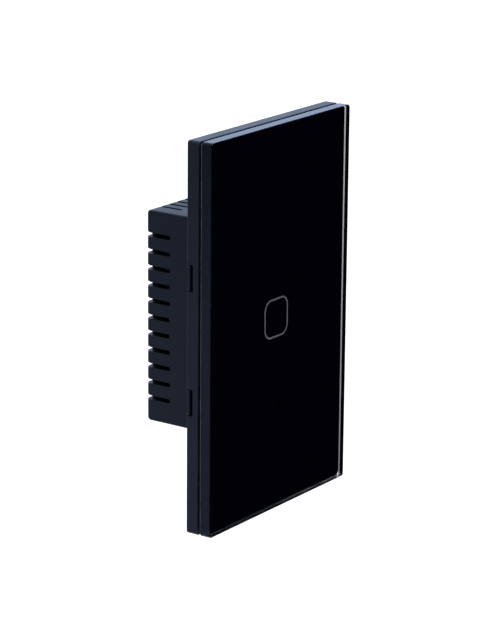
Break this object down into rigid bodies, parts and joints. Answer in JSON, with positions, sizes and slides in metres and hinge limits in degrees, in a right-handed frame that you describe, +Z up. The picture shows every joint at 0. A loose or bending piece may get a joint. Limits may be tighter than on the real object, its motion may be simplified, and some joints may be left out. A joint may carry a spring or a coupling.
{
  "type": "touch light switch",
  "caption": "Touch light switch with a black glass front panel on a thin frame, and a vented rear box that goes into a one-gang wall box.",
  "frame": {"origin": "in the wall plane, midway between the two wall screws: mount wall_face", "axes": "+X to the viewer's right, +Z up, +Y into the wall; the glass faces -Y"},
  "size_m": [0.072, 0.0345, 0.12],
  "materials": {
    "clear_glass": "clear tempered glass with polished bevels",
    "black_ink": "black screen print seen through the glass",
    "mark_ink": "translucent grey print",
    "adhesive": "thin black foam sheet",
    "frame_plastic": "fine moulded black",
    "opal_plastic": "opal diffuser",
    "base_plastic": "moulded black",
    "box_plastic": "moulded black, flame retardant",
    "terminal_plastic": "moulded black",
    "board": "green solder mask on glass fibre",
    "radio_board": "blue solder mask",
    "zinc_steel": "zinc plated",
    "shield_tin": "tinned steel",
    "spring_steel": "spring wire",
    "bar_brass": "bare brass",
    "contact_bronze": "bronze strip",
    "pin_gold": "gold flash",
    "copper_wire": "enamelled copper winding",
    "iron": "soft iron",
    "ferrite": "dark ferrite",
    "bobbin_plastic": "natural nylon",
    "relay_plastic": "black moulded case",
    "chip_resin": "moulded black resin",
    "header_plastic": "moulded black",
    "led_body": "white body with a clear lens",
    "can_sleeve": "black sleeve on an aluminium can",
    "film_yellow": "moulded yellow box",
    "varistor_blue": "dipped blue",
    "fuse_brown": "moulded brown"
  },
  "bodies": {
    "base": {"base_plate": "base_plastic", "rear_housing": "box_plastic", "housing_screws": "zinc_steel", "touch_board": "board", "touch_board_screws": "zinc_steel", "touch_spring": "spring_steel", "touch_chip": "chip_resin", "led_upper": "led_body", "led_lower": "led_body", "radio_board": "radio_board", "radio_shield": "shield_tin", "board_header": "header_plastic", "header_pins": "pin_gold", "board_socket": "header_plastic", "power_board": "board", "power_board_screws": "zinc_steel", "terminal_body": "terminal_plastic", "relay_base": "header_plastic", "relay_case": "relay_plastic", "relay_bobbin": "bobbin_plastic", "relay_winding": "copper_wire", "relay_core": "iron", "relay_yoke": "iron", "relay_fixed_contact": "contact_bronze", "relay_coil_pins": "pin_gold", "transformer_core": "ferrite", "transformer_bobbin": "bobbin_plastic", "transformer_winding": "copper_wire", "main_capacitor": "can_sleeve", "output_capacitor": "can_sleeve", "film_capacitor": "film_yellow", "varistor": "varistor_blue", "fuse": "fuse_brown", "choke_core": "ferrite", "choke_winding": "copper_wire", "bridge_rectifier": "chip_resin", "power_chip": "chip_resin", "terminal_bar_line": "bar_brass", "terminal_bar_neutral": "bar_brass", "terminal_bar_load": "bar_brass"},
    "panel": {"glass_panel": "clear_glass", "back_print": "black_ink", "ring_print": "mark_ink", "adhesive_sheet": "adhesive", "panel_frame": "frame_plastic", "light_guide": "opal_plastic"},
    "relay_armature": {"relay_armature": "iron", "relay_contact_leaf": "contact_bronze", "relay_return_spring": "contact_bronze"},
    "terminal_screw_line": {"terminal_screw_line": "zinc_steel"},
    "terminal_clamp_line": {"terminal_clamp_line": "zinc_steel"},
    "terminal_screw_neutral": {"terminal_screw_neutral": "zinc_steel"},
    "terminal_clamp_neutral": {"terminal_clamp_neutral": "zinc_steel"},
    "terminal_screw_load": {"terminal_screw_load": "zinc_steel"},
    "terminal_clamp_load": {"terminal_clamp_load": "zinc_steel"}
  },
  "joints": [
    {"name": "panel_pull_off", "type": "slide", "parent": "base", "child": "panel", "axis": [0, -1, 0], "range_m": [0, 0.015]},
    {"name": "relay_armature_swing", "type": "hinge", "parent": "base", "child": "relay_armature", "pos_m": [-0.0052, 0.0147, 0.01886], "axis": [0, 1, 0], "range_deg": [-4.4, 0], "stiffness_Nm_per_rad": 0.004, "springref_deg": 2.86},
    {"name": "terminal_screw_turn_line", "type": "hinge", "parent": "base", "child": "terminal_screw_line", "pos_m": [-0.0088, 0.0241, -0.02805], "axis": [0, -1, 0], "range_deg": [0, 2520]},
    {"name": "terminal_clamp_slide_line", "type": "slide", "parent": "base", "child": "terminal_clamp_line", "axis": [0, 1, 0], "range_m": [0, 0.0035]},
    {"name": "terminal_screw_turn_neutral", "type": "hinge", "parent": "base", "child": "terminal_screw_neutral", "pos_m": [0, 0.0241, -0.02805], "axis": [0, -1, 0], "range_deg": [0, 2520]},
    {"name": "terminal_clamp_slide_neutral", "type": "slide", "parent": "base", "child": "terminal_clamp_neutral", "axis": [0, 1, 0], "range_m": [0, 0.0035]},
    {"name": "terminal_screw_turn_load", "type": "hinge", "parent": "base", "child": "terminal_screw_load", "pos_m": [0.0088, 0.0241, -0.02805], "axis": [0, -1, 0], "range_deg": [0, 2520]},
    {"name": "terminal_clamp_slide_load", "type": "slide", "parent": "base", "child": "terminal_clamp_load", "axis": [0, 1, 0], "range_m": [0, 0.0035]}
  ],
  "couplings": [
    {"joint": "terminal_screw_turn_line", "follows": "terminal_clamp_slide_line", "rad_per_m": 12566},
    {"joint": "terminal_screw_turn_neutral", "follows": "terminal_clamp_slide_neutral", "rad_per_m": 12566},
    {"joint": "terminal_screw_turn_load", "follows": "terminal_clamp_slide_load", "rad_per_m": 12566}
  ]
}
